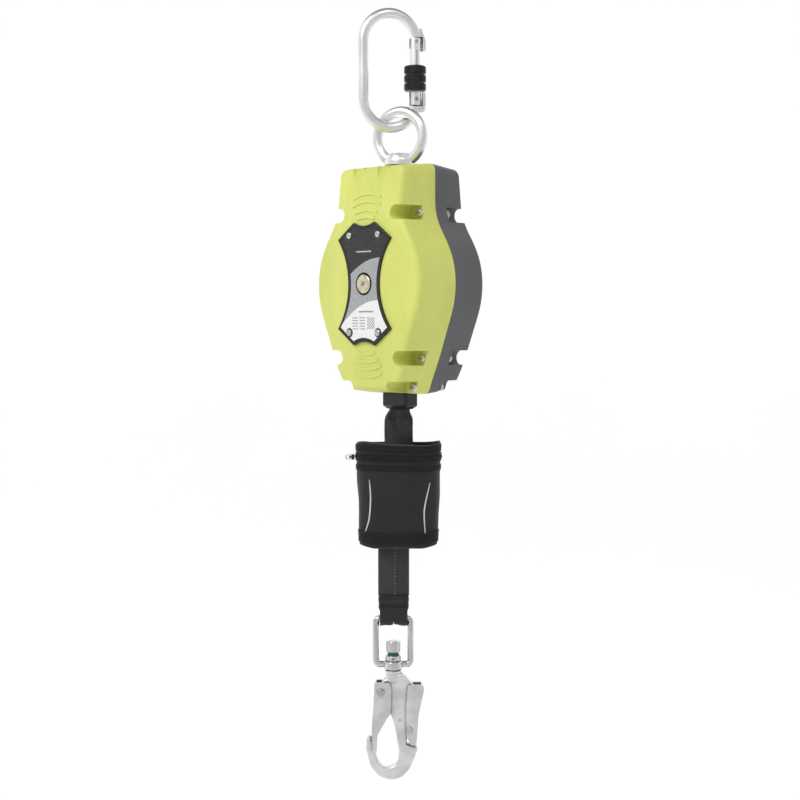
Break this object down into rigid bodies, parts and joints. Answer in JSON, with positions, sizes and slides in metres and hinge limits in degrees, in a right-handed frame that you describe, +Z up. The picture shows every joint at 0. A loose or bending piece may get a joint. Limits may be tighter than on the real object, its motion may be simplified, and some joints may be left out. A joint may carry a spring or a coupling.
{
  "type": "self retracting lifeline",
  "caption": "Self retracting fall-arrest lifeline: carabiner, swivel eye, two-part housing with sprung webbing drum, energy absorber pouch and swivel snap hook.",
  "frame": {"origin": "on the load line, where the anchor bears on the inner top of the carabiner", "axes": "+Z up along the load line, X across the housing's width, -Y out of the housing's front"},
  "size_m": [0.1334, 0.0885, 0.6769],
  "materials": {
    "polished_steel": "polished",
    "zinc_steel": "satin zinc plated",
    "black_anodised": "satin black",
    "yellow_cover": "moulded, light satin",
    "grey_cover": "moulded, light satin",
    "black_plastic": "satin",
    "label_print": "printed film",
    "axle_metal": "turned",
    "inner_steel": "bare",
    "drum_alloy": "machined",
    "spring_steel": "blued",
    "black_webbing": "woven",
    "pouch_cloth": "coated cloth",
    "green_ring": "dyed",
    "bronze": "sintered"
  },
  "bodies": {
    "carabiner": {"carabiner_body": "polished_steel", "gate_pivot_pin": "polished_steel"},
    "carabiner_gate_arm": {"carabiner_gate": "polished_steel", "latch_pin": "polished_steel"},
    "locking_sleeve": {"locking_sleeve": "black_anodised"},
    "eye": {"swivel_eye": "polished_steel", "thrust_washer": "bronze", "eye_nut": "inner_steel"},
    "housing": {"neck_bush": "black_plastic", "front_cover": "yellow_cover", "rear_cover": "grey_cover", "cover_screws": "zinc_steel", "cover_nuts": "inner_steel", "label_frame": "black_plastic", "label_plate": "label_print", "label_screws": "zinc_steel", "load_bracket": "inner_steel", "ratchet_ring": "inner_steel", "ratchet_posts": "inner_steel", "spring_case": "black_plastic", "case_back": "black_plastic", "power_spring": "spring_steel", "webbing_nozzle": "black_plastic", "guide_frame": "zinc_steel"},
    "drum": {"drum_axle": "inner_steel", "axle_end": "axle_metal", "axle_washer": "inner_steel", "drum_hub": "drum_alloy", "drum_bush": "bronze", "drum_flange_front": "drum_alloy", "drum_flange_rear": "drum_alloy", "webbing_coil": "black_webbing", "pawl_carrier": "inner_steel", "spring_arbor": "inner_steel"},
    "pawl_right": {"pawl_right": "zinc_steel"},
    "pawl_left": {"pawl_left": "zinc_steel"},
    "roller_front": {"guide_roller_front": "zinc_steel"},
    "roller_rear": {"guide_roller_rear": "zinc_steel"},
    "line": {"webbing_upper": "black_webbing", "absorber_pouch": "pouch_cloth", "absorber_pack": "black_webbing", "zip_tape_upper": "black_webbing", "zip_tape_lower": "black_webbing", "lower_sleeve": "black_webbing", "lower_webbing": "black_webbing", "sleeve_band": "black_plastic", "webbing_loop": "black_webbing"},
    "zip_slider": {"zip_slider": "black_anodised"},
    "zip_pull": {"zip_pull": "polished_steel"},
    "stirrup": {"hook_stirrup": "zinc_steel"},
    "hook": {"hook_body": "zinc_steel", "swivel_bolt": "zinc_steel", "indicator_ring": "green_ring", "swivel_washer": "zinc_steel", "gate_rivet": "zinc_steel", "lever_rivet": "zinc_steel", "side_pin": "zinc_steel"},
    "hook_gate": {"hook_gate": "zinc_steel"},
    "lock_lever": {"lock_lever": "zinc_steel"}
  },
  "joints": [
    {"name": "carabiner_gate_hinge", "type": "hinge", "parent": "carabiner", "child": "carabiner_gate_arm", "pos_m": [0.00452, 0.01412, -0.0668], "axis": [-0.8746, 0.4848, 0], "range_deg": [-20, 0], "stiffness_Nm_per_rad": 0.05, "springref_deg": 11.46},
    {"name": "sleeve_screw", "type": "slide", "parent": "carabiner_gate_arm", "child": "locking_sleeve", "axis": [0, 0, 1], "range_m": [0, 0.011]},
    {"name": "eye_swing", "type": "hinge", "parent": "carabiner", "child": "eye", "pos_m": [0, 0, -0.0852], "axis": [0.4848, 0.8746, 0], "range_deg": [-4, 12]},
    {"name": "housing_swivel", "type": "hinge", "parent": "eye", "child": "housing", "pos_m": [0, 0, -0.13], "axis": [0, 0, 1], "continuous": true},
    {"name": "webbing_payout", "type": "slide", "parent": "housing", "child": "line", "axis": [0, 0, -1], "range_m": [0, 0.03], "stiffness_N_per_m": 30, "springref_m": -0.5},
    {"name": "drum_spin", "type": "hinge", "parent": "housing", "child": "drum", "pos_m": [0, 0, -0.229], "axis": [0, 1, 0], "range_deg": [0, 35]},
    {"name": "pawl_right_hinge", "type": "hinge", "parent": "drum", "child": "pawl_right", "pos_m": [0.021, -0.029, -0.229], "axis": [0, 1, 0], "range_deg": [-6, 3], "stiffness_Nm_per_rad": 0.002, "springref_deg": -11.46},
    {"name": "pawl_left_hinge", "type": "hinge", "parent": "drum", "child": "pawl_left", "pos_m": [-0.021, -0.029, -0.229], "axis": [0, 1, 0], "range_deg": [-6, 3], "stiffness_Nm_per_rad": 0.002, "springref_deg": -11.46},
    {"name": "roller_front_spin", "type": "hinge", "parent": "housing", "child": "roller_front", "pos_m": [0, -0.0049, -0.314], "axis": [1, 0, 0], "continuous": true},
    {"name": "roller_rear_spin", "type": "hinge", "parent": "housing", "child": "roller_rear", "pos_m": [0, 0.0049, -0.314], "axis": [1, 0, 0], "continuous": true},
    {"name": "zip_slide", "type": "slide", "parent": "line", "child": "zip_slider", "axis": [-0.7071, 0.7071, 0], "range_m": [0, 0.006]},
    {"name": "zip_pull_hinge", "type": "hinge", "parent": "zip_slider", "child": "zip_pull", "pos_m": [-0.02821, -0.03387, -0.3795], "axis": [-0.7071, 0.7071, 0], "range_deg": [-15, 15]},
    {"name": "stirrup_swing", "type": "hinge", "parent": "line", "child": "stirrup", "pos_m": [-0.00424, -0.00424, -0.5226], "axis": [0.7071, 0.7071, 0], "range_deg": [-20, 20]},
    {"name": "hook_swivel", "type": "hinge", "parent": "stirrup", "child": "hook", "pos_m": [-0.00424, -0.00424, -0.56], "axis": [0, 0, 1], "continuous": true},
    {"name": "hook_gate_hinge", "type": "hinge", "parent": "hook", "child": "hook_gate", "pos_m": [-0.01209, -0.01209, -0.587], "axis": [-0.7071, 0.7071, 0], "range_deg": [-18, 0], "stiffness_Nm_per_rad": 0.05, "springref_deg": 11.46},
    {"name": "lock_lever_hinge", "type": "hinge", "parent": "hook", "child": "lock_lever", "pos_m": [0.00587, 0.00587, -0.6204], "axis": [-0.7071, 0.7071, 0], "range_deg": [-5, 0], "stiffness_Nm_per_rad": 0.05, "springref_deg": 11.46}
  ],
  "couplings": [
    {"joint": "drum_spin", "follows": "webbing_payout", "rad_per_m": 20}
  ]
}
